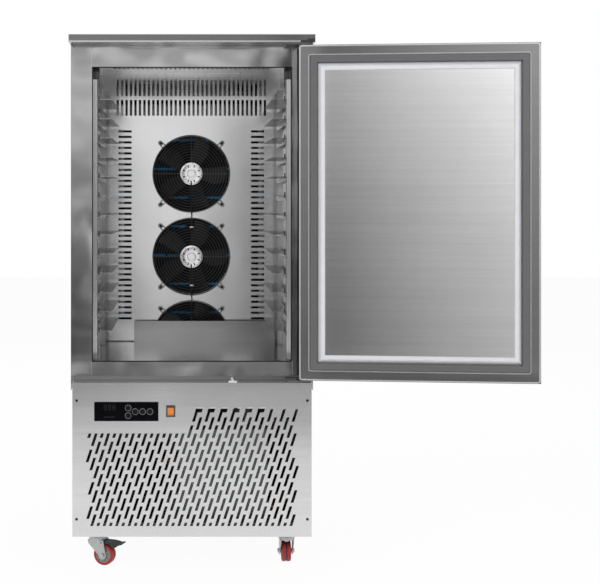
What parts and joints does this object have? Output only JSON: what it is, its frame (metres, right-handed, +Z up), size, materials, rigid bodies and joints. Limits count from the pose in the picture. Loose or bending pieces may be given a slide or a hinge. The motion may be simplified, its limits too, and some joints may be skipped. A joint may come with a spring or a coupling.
{
  "type": "blast chiller",
  "caption": "Upright blast chiller: insulated steel chamber with tray runners and stacked fans behind a side-hinged open door, over a grilled machine section on swivel casters.",
  "frame": {"origin": "on the floor, under the middle of the insulated casing's width and depth", "axes": "+X to the right seen from the front, +Y from the front to the back, +Z up"},
  "size_m": [1.5117, 0.9515, 1.742],
  "materials": {
    "casing_steel": "satin",
    "liner_steel": "satin",
    "frame_steel": "satin",
    "panel_steel": "satin",
    "rack_steel": "satin",
    "galvanised": "matte",
    "foam": "matte",
    "coil_blue": "satin",
    "guard_metal": "satin",
    "motor_silver": "satin",
    "rotor_black": "matte",
    "fan_aluminium": "satin",
    "unit_black": "satin",
    "coil_grey": "satin",
    "copper": "satin",
    "dark_plastic": "matte",
    "controller_black": "gloss",
    "button_black": "satin",
    "rocker_orange": "gloss",
    "white_plastic": "satin",
    "hinge_steel": "satin",
    "screw_dark": "satin",
    "zinc": "satin",
    "wheel_red": "satin",
    "door_steel": "satin",
    "trim_white": "satin",
    "gasket_grey": "matte"
  },
  "bodies": {
    "cabinet": {"top_cover": "casing_steel", "side_skins": "casing_steel", "rear_skin": "casing_steel", "casing_floor": "galvanised", "insulation": "foam", "chamber_liner": "liner_steel", "front_frame": "frame_steel", "ceiling_panel": "liner_steel", "fan_panel": "liner_steel", "evaporator_coil": "coil_blue", "fan_guards": "guard_metal", "fan_motors": "motor_silver", "tray_uprights": "rack_steel", "tray_runners": "rack_steel", "floor_tray": "liner_steel", "drain_pipe": "white_plastic", "machine_deck": "panel_steel", "lower_sides": "casing_steel", "front_grille_panel": "panel_steel", "rear_grille_panel": "galvanised", "base_chassis": "galvanised", "compressor": "unit_black", "condenser_coil": "coil_grey", "condenser_shroud": "unit_black", "liquid_receiver": "unit_black", "refrigerant_pipes": "copper", "control_box": "dark_plastic", "controller_face": "controller_black", "rocker_bezel": "controller_black", "door_switch": "white_plastic", "hinge_brackets": "hinge_steel", "panel_screws": "screw_dark", "power_gland": "dark_plastic", "caster_plates": "zinc"},
    "door": {"door_shell": "door_steel", "door_panel": "door_steel", "door_foam": "foam", "door_trim": "trim_white", "door_gasket": "gasket_grey", "door_handle": "hinge_steel"},
    "fan_1": {"fan_rotor_1": "rotor_black"},
    "fan_2": {"fan_rotor_2": "rotor_black"},
    "fan_3": {"fan_rotor_3": "rotor_black"},
    "condenser_fan_body": {"condenser_fan": "fan_aluminium"},
    "key_1": {"button_1": "button_black"},
    "key_2": {"button_2": "button_black"},
    "key_3": {"button_3": "button_black"},
    "key_4": {"button_4": "button_black"},
    "key_5": {"button_5": "button_black"},
    "rocker": {"power_rocker": "rocker_orange"},
    "fork_1": {"caster_fork_1": "zinc"},
    "wheel_1": {"caster_wheel_1": "wheel_red"},
    "fork_2": {"caster_fork_2": "zinc"},
    "wheel_2": {"caster_wheel_2": "wheel_red"},
    "fork_3": {"caster_fork_3": "zinc"},
    "wheel_3": {"caster_wheel_3": "wheel_red"},
    "fork_4": {"caster_fork_4": "zinc"},
    "wheel_4": {"caster_wheel_4": "wheel_red"},
    "brake_1": {"caster_brake_1": "dark_plastic"},
    "brake_2": {"caster_brake_2": "dark_plastic"}
  },
  "joints": [
    {"name": "door_hinge", "type": "hinge", "parent": "cabinet", "child": "door", "pos_m": [0.3655, -0.433, 1.164], "axis": [0, 0, 1], "range_deg": [-174.5, 5.5]},
    {"name": "fan_1_spin", "type": "hinge", "parent": "cabinet", "child": "fan_1", "pos_m": [0, 0.18, 0.68], "axis": [0, 1, 0], "continuous": true},
    {"name": "fan_2_spin", "type": "hinge", "parent": "cabinet", "child": "fan_2", "pos_m": [0, 0.18, 0.991], "axis": [0, 1, 0], "continuous": true},
    {"name": "fan_3_spin", "type": "hinge", "parent": "cabinet", "child": "fan_3", "pos_m": [0, 0.18, 1.302], "axis": [0, 1, 0], "continuous": true},
    {"name": "condenser_fan_spin", "type": "hinge", "parent": "cabinet", "child": "condenser_fan_body", "pos_m": [0.105, -0.27, 0.28], "axis": [0, 1, 0], "continuous": true},
    {"name": "button_1_press", "type": "slide", "parent": "cabinet", "child": "key_1", "axis": [0, 1, 0], "range_m": [0, 0.0012], "stiffness_N_per_m": 500},
    {"name": "button_2_press", "type": "slide", "parent": "cabinet", "child": "key_2", "axis": [0, 1, 0], "range_m": [0, 0.0012], "stiffness_N_per_m": 500},
    {"name": "button_3_press", "type": "slide", "parent": "cabinet", "child": "key_3", "axis": [0, 1, 0], "range_m": [0, 0.0012], "stiffness_N_per_m": 500},
    {"name": "button_4_press", "type": "slide", "parent": "cabinet", "child": "key_4", "axis": [0, 1, 0], "range_m": [0, 0.0012], "stiffness_N_per_m": 500},
    {"name": "button_5_press", "type": "slide", "parent": "cabinet", "child": "key_5", "axis": [0, 1, 0], "range_m": [0, 0.0012], "stiffness_N_per_m": 500},
    {"name": "rocker_tilt", "type": "hinge", "parent": "cabinet", "child": "rocker", "pos_m": [-0.069, -0.45, 0.5205], "axis": [1, 0, 0], "range_deg": [-14, 0]},
    {"name": "caster_1_swivel", "type": "hinge", "parent": "cabinet", "child": "fork_1", "pos_m": [-0.314, -0.366, 0.095], "axis": [0, 0, 1], "continuous": true},
    {"name": "wheel_1_roll", "type": "hinge", "parent": "fork_1", "child": "wheel_1", "pos_m": [-0.28769, -0.37558, 0.035], "axis": [0.342, 0.9397, 0], "continuous": true},
    {"name": "brake_1_press", "type": "hinge", "parent": "fork_1", "child": "brake_1", "pos_m": [-0.29145, -0.37421, 0.077], "axis": [0.342, 0.9397, 0], "range_deg": [0, 8]},
    {"name": "caster_2_swivel", "type": "hinge", "parent": "cabinet", "child": "fork_2", "pos_m": [0.314, -0.366, 0.095], "axis": [0, 0, 1], "continuous": true},
    {"name": "wheel_2_roll", "type": "hinge", "parent": "fork_2", "child": "wheel_2", "pos_m": [0.314, -0.338, 0.035], "axis": [-1, 0, 0], "continuous": true},
    {"name": "brake_2_press", "type": "hinge", "parent": "fork_2", "child": "brake_2", "pos_m": [0.314, -0.342, 0.077], "axis": [-1, 0, 0], "range_deg": [0, 8]},
    {"name": "caster_3_swivel", "type": "hinge", "parent": "cabinet", "child": "fork_3", "pos_m": [-0.314, 0.31, 0.095], "axis": [0, 0, 1], "continuous": true},
    {"name": "wheel_3_roll", "type": "hinge", "parent": "fork_3", "child": "wheel_3", "pos_m": [-0.314, 0.338, 0.035], "axis": [-1, 0, 0], "continuous": true},
    {"name": "caster_4_swivel", "type": "hinge", "parent": "cabinet", "child": "fork_4", "pos_m": [0.314, 0.31, 0.095], "axis": [0, 0, 1], "continuous": true},
    {"name": "wheel_4_roll", "type": "hinge", "parent": "fork_4", "child": "wheel_4", "pos_m": [0.314, 0.338, 0.035], "axis": [-1, 0, 0], "continuous": true}
  ]
}
